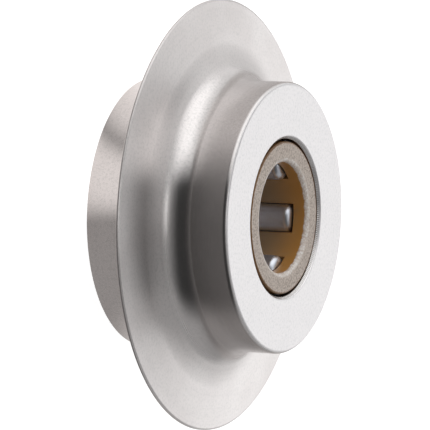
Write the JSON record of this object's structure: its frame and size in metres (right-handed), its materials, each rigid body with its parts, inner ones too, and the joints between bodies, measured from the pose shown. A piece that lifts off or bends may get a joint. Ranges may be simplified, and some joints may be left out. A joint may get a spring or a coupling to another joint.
{
  "type": "pipe cutter wheel",
  "caption": "Steel wheel with a thin V-shaped cutting blade between two hubs, and a brown roller cage with loose steel rollers in its bore.",
  "frame": {"origin": "on the bore's axis, in the plane of the cutting edge", "axes": "+Z along the bore's axis, away from the hub end that the wheel stands on; +Y through the middle of the first roller"},
  "size_m": [0.0318, 0.0318, 0.0114],
  "materials": {
    "wheel_steel": "satin, with fine turned and ground lines round the axis",
    "cage_resin": "amber brown laminate, glossy in its bore and grainy on its ends",
    "roller_steel": "hardened and polished"
  },
  "bodies": {
    "wheel": {"cutter_wheel": "wheel_steel"},
    "cage": {"roller_cage": "cage_resin"},
    "roller_1": {"roller_1": "roller_steel"},
    "roller_2": {"roller_2": "roller_steel"},
    "roller_3": {"roller_3": "roller_steel"},
    "roller_4": {"roller_4": "roller_steel"},
    "roller_5": {"roller_5": "roller_steel"},
    "roller_6": {"roller_6": "roller_steel"}
  },
  "joints": [
    {"name": "cage_spin", "type": "hinge", "parent": "wheel", "child": "cage", "pos_m": [0, 0, 0], "axis": [0, 0, 1], "continuous": true},
    {"name": "roller_1_spin", "type": "hinge", "parent": "cage", "child": "roller_1", "pos_m": [0, 0.00457, 0], "axis": [0, 0, 1], "continuous": true},
    {"name": "roller_2_spin", "type": "hinge", "parent": "cage", "child": "roller_2", "pos_m": [-0.00396, 0.00229, 0], "axis": [0, 0, 1], "continuous": true},
    {"name": "roller_3_spin", "type": "hinge", "parent": "cage", "child": "roller_3", "pos_m": [-0.00396, -0.00229, 0], "axis": [0, 0, 1], "continuous": true},
    {"name": "roller_4_spin", "type": "hinge", "parent": "cage", "child": "roller_4", "pos_m": [0, -0.00457, 0], "axis": [0, 0, 1], "continuous": true},
    {"name": "roller_5_spin", "type": "hinge", "parent": "cage", "child": "roller_5", "pos_m": [0.00396, -0.00229, 0], "axis": [0, 0, 1], "continuous": true},
    {"name": "roller_6_spin", "type": "hinge", "parent": "cage", "child": "roller_6", "pos_m": [0.00396, 0.00229, 0], "axis": [0, 0, 1], "continuous": true}
  ],
  "couplings": [
    {"joint": "roller_1_spin", "follows": "cage_spin", "ratio": -4.8571},
    {"joint": "roller_2_spin", "follows": "cage_spin", "ratio": -4.8571},
    {"joint": "roller_3_spin", "follows": "cage_spin", "ratio": -4.8571},
    {"joint": "roller_4_spin", "follows": "cage_spin", "ratio": -4.8571},
    {"joint": "roller_5_spin", "follows": "cage_spin", "ratio": -4.8571},
    {"joint": "roller_6_spin", "follows": "cage_spin", "ratio": -4.8571}
  ]
}
